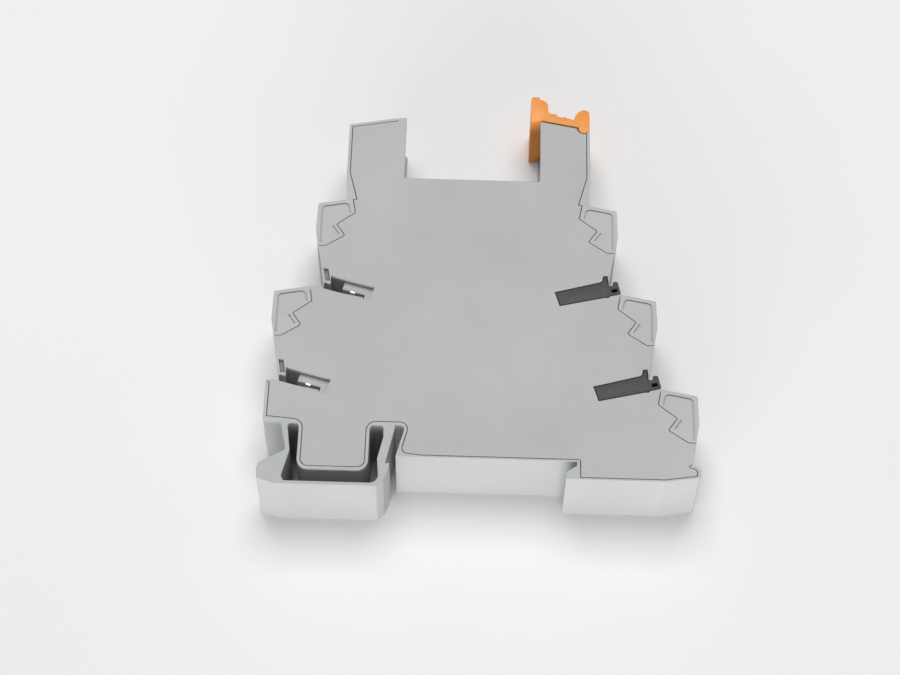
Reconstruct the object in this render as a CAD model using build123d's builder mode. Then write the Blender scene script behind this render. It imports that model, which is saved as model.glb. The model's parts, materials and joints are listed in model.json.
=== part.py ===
from build123d import *
import os
from math import cos, radians, sin, tan

# Slim plug-in relay socket for a 35 mm top-hat rail, lying on its side.
# X runs along the socket's 80 mm height, Y away from the rail, Z across its width.
# The origin is on the rail seat, on the rail's centre line and halfway through the width.

# Overall sizes and walls
width = 14.0
side_wall = 1.0
edge_wall = 1.1
seam_rim = 0.55
thin_rim = 0.3
seam_gap = 0.15
slot_wall = 0.9
edge_round = 0.4
groove_width = 0.3
groove_depth = 0.25
seam_round = 0.35
groove_inset = 0.85
groove_bend = 0.8

# Outline: terminal axis, prongs and relay bay
axis_x = -3.75
prong_reach = 23.7
prong_taper_y = 62.6
prong_taper = 0.4
prong_top_y = 73.7
bay_left = -16.25
bay_right = 10.25
deck_y = 61.1
guide_height = 4.3
relief_depth = 0.55
face_tilt = 11.0

# Terminal levels
top_reach = 28.8
top_y = 54.6
level_step_out = 7.15
level_step_down = 20.25
face_height = 6.0
face_bulge = 0.1
wall_lean = 10.0
face_depth = 6.65
wall_foot_rise = 3.4
shoulder_x = -39.85
shoulder_y = 15.15
shoulder_base_y = 7.0

# Rail seat, claw and sprung foot
seat_left = -15.45
claw_root_x = 17.25
claw_reach = 2.0
claw_gap = 0.9
claw_slope = 1.3
claw_base_y = -3.6
claw_end_x = 39.55
claw_lift_run = 6.4
claw_lift = 1.0
lip_y = -0.15
lip_lean = 0.15
lip_height = 1.05
lip_round = 0.5
foot_base_y = -6.1
spring_wall = 0.6
leg_left = -33.2
leg_right = -20.35
leg_base_y = -3.0
foot_slot_y = 6.4
leg_round = 2.0
foot_slot_round = 1.2
latch_round = 0.8
seat_round = 1.2
hook_x = -16.45
hook_y = -1.3
hook_depth = 0.8

# Clamps: screw across the tilted top face, cage around the current bar
screw_at = 3.3
head_radius = 2.2
head_height = 1.6
head_depth = 1.3
shank_radius = 1.45
thread_gap = 0.05
tip_depth = 8.6
driver_radius = 1.95
slot_cut = 0.7
cross_reach = 1.35
recess_depth = 0.9
cage_play = 0.3
cage_length = 4.0
cage_top = 5.6
cage_plate = 1.2
cage_side = 0.7
cage_base = 12.9
cage_floor = 0.8
bar_gap = 0.1
bar_thickness = 0.8
bar_width = 3.0
bar_end = 1.8
bar_root = -3.6
entry_depth = 10.8
entry_width = 3.4
entry_height = 2.8
funnel_angle = 20.0
funnel_flare = 1.2
funnel_depth = 2.9
rib_thickness = 0.9
rib_offset = 3.05
rib_gap = 0.05
floor_gap = 0.2
divider_thickness = 0.8
divider_gap = 0.1
notch_play = 0.3

# Bridging slots under the two upper levels of each side
slot_in = 10.9
slot_down = 21.7
slot_tilt = 15.5
slot_height = 3.05
insert_gap = 0.12
insert_inset = 0.06
contact_sheet = 0.35

# Relay contacts under the deck
pin_row = 3.75
coil_pin = -10.0
pin_pitch = 5.0
pin_slot_width = 2.8
pin_slot_height = 1.2
fork_width = 2.4
fork_length = 7.0
fork_depth = 2.0
fork_gap = 0.7
fork_root = 1.6
strip_width = 2.2
strip_thickness = 0.8

# Retaining lever and its hinge
lever_gap = 0.15
lever_half_width = 6.8
knuckle_radius = 1.1
knuckle_half_width = 2.0
knuckle_gap = 0.2
trunnion_radius = 0.5
trunnion_gap = 0.05
trunnion_reach = 1.4
nose_overhang = 1.9
hinge_rise = 0.65
lever_height = 6.1

# Board, light and cover pegs
board_room = 1.75
board_base = 49.6
board_top = 71.8
board_play = 0.15
foot_pitch = 2.9
foot_inset = 0.9
lead_width = 1.5
lead_play = 0.8
lead_gap = 0.3
tail_width = 1.6
board_thickness = 1.0
board_seat = 0.4
post_radius = 1.0
post_rises = (8.5, 19.2)
led_radius = 1.5
light_offset = 0.5
pipe_width = 2.4
peg_radius = 0.9
peg_gap = 0.05
peg_length = 3.0
peg_room = 0.3
boss_radius = 1.9
peg_places = [(-9.5, 20.0), (-9.5, 45.0), (10.5, 13.5), (12.4, 54.6)]
beyond = 100

half = width / 2
inner = half - side_wall
row_offset = (inner + divider_thickness / 2) / 2
cage_width = inner - divider_thickness / 2 - 2 * cage_play
prong_foot_reach = prong_reach - prong_taper
latch_top_x = seat_left + 1.55
latch_left = hook_x + 0.6
latch_right = seat_left + 1.3
board_right = bay_left - edge_wall - board_play
board_left = axis_x - prong_reach + edge_wall + board_room
board_middle = (board_left + board_right) / 2
board_face = board_seat + board_thickness
light_x = board_middle - light_offset
light_z = board_face + led_radius
lean = tan(radians(wall_lean))
slope = tan(radians(face_tilt))
reach = [top_reach + level_step_out * k for k in range(3)]
level_y = [top_y - level_step_down * k for k in range(3)]
bay_middle = (bay_left + bay_right) / 2
contact_x = [bay_middle + pin_pitch * k for k in range(3)]
coil_x = bay_middle + coil_pin
bar_top = tip_depth + bar_gap
bar_base = bar_top + bar_thickness

# Sides: contact side to +X, coil side to -X; a level is counted from the top
CONTACT = 1
COIL = -1
TERMINALS = [(CONTACT, 0), (CONTACT, 1), (CONTACT, 2), (COIL, 0), (COIL, 1)]
SIDE_NAME = {CONTACT: "contact", COIL: "coil"}
LEVEL_NAME = ["top", "middle", "bottom"]
ROWS = {"front": 1, "back": -1}

os.makedirs("parts", exist_ok=True)


def save(piece, name):
    piece.label = name
    export_step(piece, f"parts/{name}.step")


def beside(side, level, out, up):
    """A point measured from the outer top corner of a level, outwards and upwards."""
    return (axis_x + side * (reach[level] + out), level_y[level] + up)


def along(side, level, depth, across):
    """A point of a clamp: depth below the top face along the screw, across outwards."""
    tilt = radians(face_tilt)
    out = -screw_at - depth * sin(tilt) + across * cos(tilt)
    up = screw_at * slope - depth * cos(tilt) - across * sin(tilt)
    return beside(side, level, out, up)


def in_slot(side, level, run, rise):
    """A point of a bridging slot: run outwards from its blind end, rise across it."""
    tilt = radians(slot_tilt)
    out = -slot_in + run * cos(tilt) - rise * sin(tilt)
    up = -slot_down + run * sin(tilt) + rise * cos(tilt)
    return beside(side, level, out, up)


def wall_x(side, level, y):
    """Where the leaning outer wall under a level stands at a height y."""
    fall = level_y[level] - face_height - y
    return axis_x + side * (reach[level] + face_bulge - fall * lean)


def polygon(points):
    with BuildSketch() as shape:
        with BuildLine():
            Polyline(points, close=True)
        make_face()
    return shape.sketch_local


def corners_at(shape, places, radius):
    """The shape with its corners nearest to the given places rounded."""
    with BuildSketch() as rounded:
        add(shape)
        corners = rounded.sketch_local.vertices()
        chosen = [min(corners, key=lambda v: (Vector(v.X, v.Y) - Vector(p)).length) for p in places]
        fillet(chosen, radius)
    return rounded.sketch_local


# Outline of the closed box, without the sprung foot and the claw

def box_outline():
    prong_rise = (axis_x + prong_reach - bay_right) * slope
    right = [
        (claw_root_x, 0), (claw_root_x, claw_base_y), (claw_end_x - claw_lift_run, claw_base_y),
        (claw_end_x - lip_lean, claw_base_y + claw_lift), (claw_end_x, lip_y - lip_height),
        (claw_end_x - 0.8, lip_y - lip_lean),
    ]
    for level in (2, 1, 0):
        wall_foot = lip_y if level == 2 else level_y[level + 1] + wall_foot_rise
        right += [
            (wall_x(CONTACT, level, wall_foot), wall_foot),
            beside(CONTACT, level, face_bulge, -face_height),
            beside(CONTACT, level, 0, 0),
        ]
        if level > 0:
            right.append(beside(CONTACT, level, -face_depth, face_depth * slope))
    prong_foot_y = top_y + (top_reach - prong_foot_reach) * slope
    prongs = [
        (axis_x + prong_foot_reach, prong_foot_y),
        (axis_x + prong_reach, prong_taper_y),
        (axis_x + prong_reach, prong_top_y),
        (bay_right, prong_top_y + prong_rise),
        (bay_right, deck_y),
        (bay_left, deck_y),
        (bay_left, prong_top_y + prong_rise),
        (axis_x - prong_reach + prong_rise / slope, prong_top_y + prong_rise),
        (axis_x - prong_reach, prong_top_y),
        (axis_x - prong_reach, prong_taper_y),
        (axis_x - prong_foot_reach, prong_foot_y),
    ]
    middle_top = level_y[1] + face_depth * slope
    left = [
        beside(COIL, 0, 0, 0),
        beside(COIL, 0, face_bulge, -face_height),
        (wall_x(COIL, 0, middle_top), middle_top),
        beside(COIL, 1, -face_depth, face_depth * slope),
        beside(COIL, 1, 0, 0),
        beside(COIL, 1, face_bulge, -face_height),
        (wall_x(COIL, 1, shoulder_y), shoulder_y),
        (shoulder_x, shoulder_y),
        (shoulder_x, shoulder_base_y),
        (leg_left, foot_slot_y),
        (leg_left, leg_base_y),
        (leg_right, leg_base_y),
        (leg_right, foot_slot_y),
        (latch_top_x, foot_slot_y),
        (seat_left, 0),
    ]
    shape = polygon(right + prongs + left)
    shape = corners_at(shape, [(leg_left, leg_base_y), (leg_right, leg_base_y)], leg_round)
    shape = corners_at(shape, [(leg_left, foot_slot_y), (leg_right, foot_slot_y)], foot_slot_round)
    return corners_at(shape, [(latch_top_x, foot_slot_y)], latch_round)


def rounded_outline(shape):
    """The outline as it shows outside, with its small corners rounded too."""
    small = [beside(side, level, 0, 0) for side, level in TERMINALS]
    small += [(axis_x + s * prong_reach, prong_top_y) for s in (1, -1)]
    shape = corners_at(shape, small, edge_round)
    return corners_at(shape, [(claw_end_x - lip_lean, claw_base_y + claw_lift), (claw_end_x, lip_y - lip_height)], lip_round)


def inset(shape, amount):
    return offset(shape, amount=-amount, mode=Mode.PRIVATE)


def grown(shape, amount):
    return offset(shape, amount=amount, kind=Kind.INTERSECTION, mode=Mode.PRIVATE)


# Zigzag edge between the cover and each terminal tower

ZIGZAG = [(-6.6, 1.25), (-7.15, -1.9), (-3.7, -4.7), (-5.4, -7.2), (-1.9, -9.6), (1.5, -9.6)]
flush_top = top_y + 1.2


def tower(side, level):
    """The corner of a level that belongs to the housing, out past its outline."""
    top = ZIGZAG[0][1] if level == 0 else 3.0
    points = [beside(side, level, *p) for p in ZIGZAG]
    points += [beside(side, level, 1.5, top), beside(side, level, -6.6, top)]
    shape = polygon(points if level else points[:-1])
    return corners_at(shape, [beside(side, level, *p) for p in ZIGZAG[1:5]], seam_round)


def prong_root(side):
    """The widening of the rim where a prong stands on the top level."""
    foot_y = flush_top + 0.05
    points = [
        (prong_reach - seam_rim, prong_taper_y - prong_taper), (prong_reach - 2.2, foot_y),
        (prong_reach + 1.3, foot_y), (prong_reach + 1.3, prong_taper_y - prong_taper),
    ]
    return polygon([(axis_x + side * x, y) for x, y in points])


# Bridging slots

INSERT = [
    (-11.8, -18.8), (-10.9, -21.7), (-2.4, -19.6), (-1.9, -19.65), (-1.6, -19.3), (0.4, -18.75), (0.55, -18.4),
    (-0.05, -16.0), (-0.9, -16.0), (-0.9, -16.7), (-1.35, -17.0), (-1.85, -16.75), (-2.0, -14.9), (-2.65, -14.95),
    (-2.8, -16.0), (-3.3, -16.35),
]
OPEN_BAR = [(0, -0.1), (7.8, -0.1), (9.3, -0.1), (9.3, 1.3), (8.2, 1.3), (8.64, slot_height), (0, slot_height)]
DEEP_BAR = [(1.4, -0.1), (9.3, -0.1), (9.3, 1.3), (8.2, 1.3), (8.64, slot_height), (5.9, slot_height), (5.9, 1.35), (1.4, 1.35)]
RIB_WINDOW = [(-1.85, -14.8), (-2.75, -14.8), (-3.25, -17.6), (-2.35, -17.6)]


def insert_outline(level):
    return polygon([beside(CONTACT, level, *p) for p in INSERT])


def slot_window(side, level, bar=OPEN_BAR):
    """The opening of a bridging slot, seen from the side."""
    if side == CONTACT:
        return grown(insert_outline(level), insert_gap)
    with BuildSketch() as shape:
        add(polygon([in_slot(side, level, *p) for p in bar]))
        add(polygon([beside(side, level, *p) for p in RIB_WINDOW]))
    return shape.sketch_local


SLOTS = [(CONTACT, 0), (CONTACT, 1), (COIL, 0), (COIL, 1)]

core = box_outline()
box = rounded_outline(core)


def slot_block(side, level):
    """The solid that walls in a bridging slot inside the box."""
    with BuildSketch() as shape:
        add(polygon([in_slot(side, level, *p) for p in [(0, -0.1), (12, -0.1), (12, slot_height), (0, slot_height)]]))
        add(polygon([beside(side, level, *p) for p in RIB_WINDOW]))
        offset(amount=slot_wall, kind=Kind.INTERSECTION, mode=Mode.REPLACE)
        add(box, mode=Mode.INTERSECT)
    return shape.sketch_local


# Inside of the box

def cavity_outline(clearance=0.0):
    """The hollow between the edge walls and the slot blocks."""
    with BuildSketch() as shape:
        add(inset(core, edge_wall + clearance))
        for side, level in SLOTS:
            add(grown(slot_block(side, level), clearance) if clearance else slot_block(side, level), mode=Mode.SUBTRACT)
        with Locations(*peg_places):
            Circle(boss_radius + clearance, mode=Mode.SUBTRACT)
    return shape.sketch_local


def chamber_ribs():
    """Ribs around each clamp: a guide beside the screw and a floor under the cage."""
    with BuildSketch() as shape:
        for side, level in TERMINALS:
            floor_mid = cage_base + floor_gap + rib_thickness / 2
            runs = [
                [along(side, level, 0.9, -rib_offset), along(side, level, bar_top - rib_gap, -rib_offset)],
                [
                    along(side, level, bar_base + rib_gap, -rib_offset),
                    along(side, level, floor_mid, -rib_offset),
                    along(side, level, floor_mid, 4.3),
                ],
            ]
            for run in runs:
                with BuildLine() as path:
                    Polyline(run)
                trace(path.line, line_width=rib_thickness)
        add(inset(core, edge_wall / 2), mode=Mode.INTERSECT)
        for side, level in SLOTS:
            add(slot_block(side, level), mode=Mode.SUBTRACT)
    return shape.sketch_local


# Seat of the cover in the housing

def flush_area():
    """Where the cover reaches the outline with no rim around it."""
    prong_peak = prong_top_y + (axis_x + prong_reach - bay_right) * slope
    left_flat = axis_x - prong_reach + (prong_peak - prong_top_y) / slope
    with BuildSketch() as area:
        add(polygon([
            (-beyond, shoulder_y - seam_rim), (shoulder_x + seam_rim, shoulder_y - seam_rim),
            (leg_left, foot_slot_y + 2), (claw_end_x - 6, foot_slot_y + 2), (claw_end_x - 3, lip_y - seam_rim),
            (wall_x(CONTACT, 2, lip_y) + 0.1, lip_y), (beyond, lip_y), (beyond, flush_top), (-beyond, flush_top),
        ]))
        add(polygon([
            (left_flat, deck_y - 3), (bay_middle, deck_y - 3), (bay_middle, prong_peak + 1), (left_flat, prong_peak + 1),
        ]))
        add(polygon([
            (bay_middle, deck_y - 3), (axis_x + prong_reach - seam_rim, deck_y - 3),
            (axis_x + prong_reach - seam_rim, prong_top_y + 1), (bay_right, prong_peak + 1), (bay_middle, prong_peak + 1),
        ]))
        add(core, mode=Mode.INTERSECT)
    return area.sketch_local


def low_area():
    """Where the rim gets thin: along the rail seat and under the fixed claw."""
    return polygon([
        (seat_left + 2.2, seam_rim + 0.05), (seat_left + 4.5, thin_rim), (claw_root_x + seam_rim, thin_rim),
        (claw_root_x + seam_rim, claw_base_y), (claw_end_x - lip_lean - seam_rim, claw_base_y),
        (claw_end_x - lip_lean - seam_rim, claw_base_y + claw_lift + seam_rim), (claw_root_x + 3, foot_slot_y),
        (seat_left + 3, foot_slot_y),
    ])


def cover_seat():
    with BuildSketch() as low:
        add(low_area())
        add(inset(core, thin_rim), mode=Mode.INTERSECT)
    with BuildSketch() as shape:
        add(corners_at(inset(core, seam_rim), [(seat_left + seam_rim, seam_rim)], seat_round))
        add(low.sketch_local)
        add(flush_area())
        for side, level in TERMINALS:
            add(tower(side, level), mode=Mode.SUBTRACT)
        for side in (CONTACT, COIL):
            add(prong_root(side), mode=Mode.SUBTRACT)
        with Locations((hinge_x, hinge_y)):
            Circle(knuckle_radius + knuckle_gap, mode=Mode.SUBTRACT)
    return shape.sketch_local


def cover_outline():
    """The cover keeps the seam's gap from the rim and the towers, and is flush elsewhere."""
    with BuildSketch() as rim:
        add(core)
        add(seat_sketch, mode=Mode.SUBTRACT)
    with BuildSketch() as shape:
        add(core)
        add(offset(rim.sketch_local, amount=seam_gap, mode=Mode.PRIVATE), mode=Mode.SUBTRACT)
    return shape.sketch_local


# Sprung foot: one loop around the central leg, with a finger tab and a hook

def foot_outline():
    outer = [
        (-36.7, 7.2), (-35.35, 0.9), (-35.75, 0.55), (-40.05, -2.0), (-40.35, -3.3), (-40.15, -5.1),
        (-37.0, foot_base_y), (-18.7, foot_base_y), (-17.5, -4.9), (-16.75, -3.0), (hook_x, hook_y),
        (hook_x - hook_depth, hook_y), (latch_left, foot_slot_y - 1.0), (latch_left + 0.25, 7.2),
    ]
    floor = foot_base_y + spring_wall
    hollow = [
        (-35.35, foot_slot_y - 0.1), (-34.6, 0.7), (-35.8, -4.5), (-35.4, floor), (-18.25, floor), (-18.75, -0.6),
        (-17.8, 3.8), (-17.85, foot_slot_y - 0.1),
    ]
    shape = corners_at(polygon(outer), [outer[4], outer[5]], 0.5)
    shape = corners_at(shape, [outer[2]], 0.7)
    shape = corners_at(shape, [outer[7], outer[8]], 0.75)
    shape = corners_at(shape, [outer[9]], 0.9)
    space = corners_at(polygon(hollow), [hollow[0], hollow[-1]], 0.75)
    space = corners_at(space, [hollow[4]], 1.6)
    space = corners_at(space, [hollow[3]], 0.35)
    space = corners_at(space, [hollow[2]], 0.4)
    space = corners_at(space, [hollow[1], hollow[5]], 1.5)
    with BuildSketch() as foot:
        add(shape)
        add(space, mode=Mode.SUBTRACT)
    return foot.sketch_local


def latch_slot():
    """The slot that sets the hook's arm free from the box."""
    points = [
        (hook_x - hook_depth, hook_y - 0.2), (latch_left, foot_slot_y - 1.0), (latch_left, foot_slot_y),
        (latch_right, foot_slot_y), (latch_right, foot_slot_y - 1.2), (seat_left, 0.2), (seat_left, hook_y),
    ]
    return corners_at(polygon(points), [(latch_left, foot_slot_y), (latch_right, foot_slot_y)], latch_round)


def claw_outline():
    tip = claw_root_x - claw_reach
    return polygon([
        (claw_root_x + 0.2, -claw_gap), (claw_root_x, -claw_gap), (tip, -claw_gap - claw_slope), (tip, claw_base_y),
        (claw_root_x + 0.2, claw_base_y),
    ])


# Hinge of the lever on the contact-side prong
hinge_x = axis_x + prong_reach - knuckle_radius
hinge_y = prong_top_y + hinge_rise

seat_sketch = cover_seat()
cavity = cavity_outline()
ribs = chamber_ribs()


def screw_plane(side, level, row):
    """A plane on the top face, square to the screw, with z out of the housing."""
    tilt = radians(face_tilt)
    x, y = along(side, level, 0, 0)
    return Plane(origin=(x, y, row * row_offset), x_dir=(0, 0, 1), z_dir=(side * sin(tilt), cos(tilt), 0))


def entry_plane(side, level, row):
    """A plane at the conductor's mouth, square to the conductor, with z inwards."""
    tilt = radians(face_tilt)
    x, y = along(side, level, entry_depth, 5.6)
    return Plane(origin=(x, y, row * row_offset), x_dir=(0, 0, 1), z_dir=(-side * cos(tilt), sin(tilt), 0))


with BuildPart() as housing:
    with BuildSketch(Plane.XY.offset(-half)):
        add(box)
        add(foot_outline())
        add(claw_outline())
        add(latch_slot(), mode=Mode.SUBTRACT)
    extrude(amount=width)
    with BuildSketch(Plane.XY.offset(inner)):
        add(seat_sketch)
    extrude(amount=side_wall, mode=Mode.SUBTRACT)
    with BuildSketch(Plane.XY.offset(-divider_thickness / 2)):
        add(cavity)
    extrude(amount=inner + divider_thickness / 2, mode=Mode.SUBTRACT)
    with BuildSketch(Plane.XY.offset(-inner)):
        add(cavity)
        add(ribs, mode=Mode.SUBTRACT)
    extrude(amount=inner - divider_thickness / 2, mode=Mode.SUBTRACT)
    # Bridging slots, through the whole width
    for side, level in SLOTS:
        with BuildSketch(Plane.XY.offset(-half)):
            add(slot_window(side, level, DEEP_BAR))
        extrude(amount=width, mode=Mode.SUBTRACT)
    # Holes for the screwdriver and funnels for the conductors
    for side, level in TERMINALS:
        for row in ROWS.values():
            with BuildSketch(screw_plane(side, level, row).offset(-head_depth)):
                Circle(driver_radius)
            extrude(amount=head_depth + 1.0, mode=Mode.SUBTRACT)
            with BuildSketch(entry_plane(side, level, row)):
                Rectangle(entry_width + funnel_flare, entry_height + funnel_flare)
            extrude(amount=funnel_depth, taper=funnel_angle / 2, mode=Mode.SUBTRACT)
    # Fine line around the face of each tower
    for side, level in TERMINALS:
        line_y = -groove_inset
        with BuildSketch(Plane.XY.offset(half - groove_depth)):
            with BuildLine() as rim_line:
                FilletPolyline(
                    beside(side, level, -6.25, -1.9), beside(side, level, -5.75, 5.75 * slope + line_y),
                    beside(side, level, -0.9, 0.9 * slope + line_y), beside(side, level, -0.9, -8.9), radius=groove_bend)
            trace(rim_line.line, line_width=groove_width)
            with BuildLine() as tick:
                Polyline(beside(side, level, -3.1, -5.1), beside(side, level, -4.3, -7.0))
            trace(tick.line, line_width=groove_width)
        extrude(amount=groove_depth, mode=Mode.SUBTRACT)
    # Openings in the deck for the relay's blades
    with BuildSketch(Plane.XZ.offset(-deck_y - 1)):
        for x in [coil_x] + contact_x:
            with Locations((x, pin_row), (x, -pin_row)):
                Rectangle(pin_slot_width, pin_slot_height)
    extrude(amount=edge_wall + 1.2, mode=Mode.SUBTRACT)
    # The bay's side walls stand back above a guide at the foot of each prong
    with BuildSketch(Plane.XY.offset(-inner)):
        for corner, edge in ((bay_left, Align.MAX), (bay_right, Align.MIN)):
            with Locations((corner, deck_y + guide_height)):
                Rectangle(relief_depth, prong_top_y, align=(edge, Align.MIN))
    extrude(amount=2 * inner, mode=Mode.SUBTRACT)
    # Pegs of the cover go into these bosses, the board rests on the posts
    with BuildSketch(Plane.XY.offset(inner - peg_length - peg_room)):
        with Locations(*peg_places):
            Circle(peg_radius + peg_gap)
    extrude(amount=peg_length + peg_room, mode=Mode.SUBTRACT)
    with BuildSketch(Plane.XY.offset(-inner)):
        with Locations(*[(board_middle, board_base + rise) for rise in post_rises]):
            Circle(post_radius)
    extrude(amount=inner + board_seat)
    # Window for the light pipe in the coil-side prong
    with BuildSketch(Plane.XZ.offset(-prong_top_y + 2)):
        with Locations((light_x, light_z)):
            Rectangle(pipe_width + 0.1, pipe_width + 0.1)
    extrude(amount=-6, mode=Mode.SUBTRACT)
    # Recess for the lever's round end, with the knuckle of its hinge standing in the middle
    for end in (1, -1):
        with BuildSketch(Plane.XY.offset(end * knuckle_half_width)):
            with Locations((hinge_x, hinge_y)):
                Circle(knuckle_radius + knuckle_gap)
        extrude(amount=end * half, mode=Mode.SUBTRACT)
    with BuildSketch(Plane.XY.offset(-knuckle_half_width)):
        with Locations((hinge_x, hinge_y)):
            Circle(knuckle_radius)
        add(polygon([
            (hinge_x - knuckle_radius, hinge_y), (hinge_x + knuckle_radius, hinge_y),
            (hinge_x + knuckle_radius, prong_top_y - 1.5), (hinge_x - knuckle_radius, prong_top_y - 1.5),
        ]))
    extrude(amount=2 * knuckle_half_width)
    with BuildSketch(Plane.XY.offset(-knuckle_half_width)):
        with Locations((hinge_x, hinge_y)):
            Circle(trunnion_radius + trunnion_gap)
    extrude(amount=2 * knuckle_half_width, mode=Mode.SUBTRACT)

with BuildPart() as cover:
    with BuildSketch(Plane.XY.offset(inner)):
        add(cover_outline())
        for side, level in SLOTS:
            add(slot_window(side, level), mode=Mode.SUBTRACT)
    extrude(amount=side_wall)
    with BuildSketch(Plane.XY.offset(inner - peg_length)):
        with Locations(*peg_places):
            Circle(peg_radius)
    extrude(amount=peg_length)

def divider_outline():
    """The divider's plate: the hollow's outline below the deck, clear of the board and the combs."""
    with BuildSketch() as plate:
        with Locations((0, deck_y - edge_wall - 0.2)):
            Rectangle(2 * beyond, 2 * beyond, align=(Align.CENTER, Align.MAX))
        add(cavity_outline(divider_gap), mode=Mode.INTERSECT)
        with Locations((board_middle, board_base + 5.4)):
            Rectangle(board_right - board_left + 1.0, 16.0, mode=Mode.SUBTRACT)
        for level in (0, 1):
            notch_top = bar_top - notch_play
            notch_base = bar_base + notch_play
            add(polygon([
                along(COIL, level, notch_top, -6.8), along(COIL, level, notch_top, -rib_offset - rib_thickness / 2),
                along(COIL, level, notch_base, -rib_offset - rib_thickness / 2), along(COIL, level, notch_base, -6.8),
            ]), mode=Mode.SUBTRACT)
    return plate.sketch_local


def divider_ribs():
    with BuildSketch() as raised:
        add(ribs)
        add(divider_outline(), mode=Mode.INTERSECT)
    return raised.sketch_local


with BuildPart() as divider:
    with BuildSketch(Plane.XY.offset(-divider_thickness / 2)):
        add(divider_outline())
    extrude(amount=divider_thickness)
    with BuildSketch(Plane.XY.offset(divider_thickness / 2)):
        add(divider_ribs())
    extrude(amount=inner - divider_thickness / 2 - divider_gap)

save(housing.part, "housing")
save(cover.part, "cover")
save(divider.part, "divider")

# Fillers of the contact-side bridging slots
for level in (0, 1):
    with BuildPart() as slot_insert:
        with BuildSketch(Plane.XY.offset(-half + insert_inset)):
            add(insert_outline(level))
        extrude(amount=width - 2 * insert_inset)
        with BuildSketch(Plane.XY.offset(half - 1.5)):
            with Locations(in_slot(CONTACT, level, 10.9, 0.85)):
                Rectangle(1.1, 0.7, rotation=slot_tilt)
        extrude(amount=1.5, mode=Mode.SUBTRACT)
    save(slot_insert.part, f"slot_insert_{['upper', 'lower'][level]}")

# Springs in the open bridging slots
for level in (0, 1):
    with BuildPart() as bridge_contact:
        with BuildSketch(Plane.XY.offset(-inner + 0.5)):
            with BuildLine() as arch:
                ThreePointArc(in_slot(COIL, level, 1.7, 0.1), in_slot(COIL, level, 3.9, 0.6), in_slot(COIL, level, 7.3, 0.1))
            trace(arch.line, line_width=contact_sheet)
        extrude(amount=2 * inner - 1.5)
    save(bridge_contact.part, f"bridge_contact_{['upper', 'lower'][level]}")

# Retaining lever: saddle over the prong, nose over the bay, lug above the hinge
nose_x = bay_right - nose_overhang
seat_rise = lever_gap / cos(radians(face_tilt))


def lever_base(x):
    """Underside of the lever above the sloping end of the prong."""
    return prong_top_y + (axis_x + prong_reach - x) * slope + seat_rise


nose_y = lever_base(bay_right)
outer_x = axis_x + prong_reach


def between(share):
    """A place on the lever's back, as a share of the way from the nose to the lug."""
    return nose_x + 3.5 + share * (outer_x - 3.1 - nose_x - 3.5)


with BuildPart() as relay_lever:
    with BuildSketch(Plane.XY.offset(-lever_half_width)):
        with BuildLine():
            Polyline([
                (nose_x, nose_y), (nose_x + 0.05, nose_y + lever_height - 0.3), (nose_x + 0.35, nose_y + lever_height),
                (nose_x + 1.55, nose_y + lever_height), (nose_x + 1.85, nose_y + lever_height - 0.6),
                (nose_x + 2.7, nose_y + lever_height - 0.9), (nose_x + 3.3, nose_y + lever_height - 1.6),
                (nose_x + 3.45, nose_y + 2.5), (nose_x + 3.65, nose_y + 2.15),
                (between(0.3), nose_y + 1.95), (between(0.36), nose_y + 1.4), (between(0.56), nose_y + 1.2),
                (between(0.63), nose_y + 1.5), (between(0.7), nose_y + 1.15), (outer_x - 3.1, nose_y + 0.65),
                (outer_x - 2.8, nose_y + 1.8), (outer_x - 2.1, nose_y + 2.75), (outer_x - 1.3, nose_y + 3.15),
                (outer_x - 0.6, nose_y + 3.1), (outer_x - 0.1, nose_y + 2.7), (outer_x, nose_y + 2.1),
                (outer_x, hinge_y), (hinge_x, hinge_y), (hinge_x - knuckle_radius, lever_base(hinge_x - knuckle_radius)),
                (bay_right, nose_y),
            ], close=True)
        make_face()
        with Locations((hinge_x, hinge_y)):
            Circle(knuckle_radius)
    extrude(amount=2 * lever_half_width)
    # Room for the housing's knuckle, open outwards
    slot_radius = knuckle_radius + knuckle_gap
    with BuildSketch(Plane.XY.offset(-knuckle_half_width - knuckle_gap)):
        with Locations((hinge_x, hinge_y)):
            Circle(slot_radius)
        add(polygon([
            (hinge_x - slot_radius, hinge_y), (hinge_x, hinge_y + slot_radius), (outer_x + 1, hinge_y + slot_radius),
            (outer_x + 1, prong_top_y - 1), (hinge_x - slot_radius, prong_top_y - 1),
        ]))
    extrude(amount=2 * (knuckle_half_width + knuckle_gap), mode=Mode.SUBTRACT)
    # Trunnions that snap into the knuckle from both sides
    for end in (1, -1):
        cheek = end * (knuckle_half_width + knuckle_gap)
        with BuildSketch(Plane.XY.offset(cheek + end * 0.2)):
            with Locations((hinge_x, hinge_y)):
                Circle(trunnion_radius)
        extrude(amount=-end * (trunnion_reach + 0.2))
save(relay_lever.part, "relay_lever")

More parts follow.
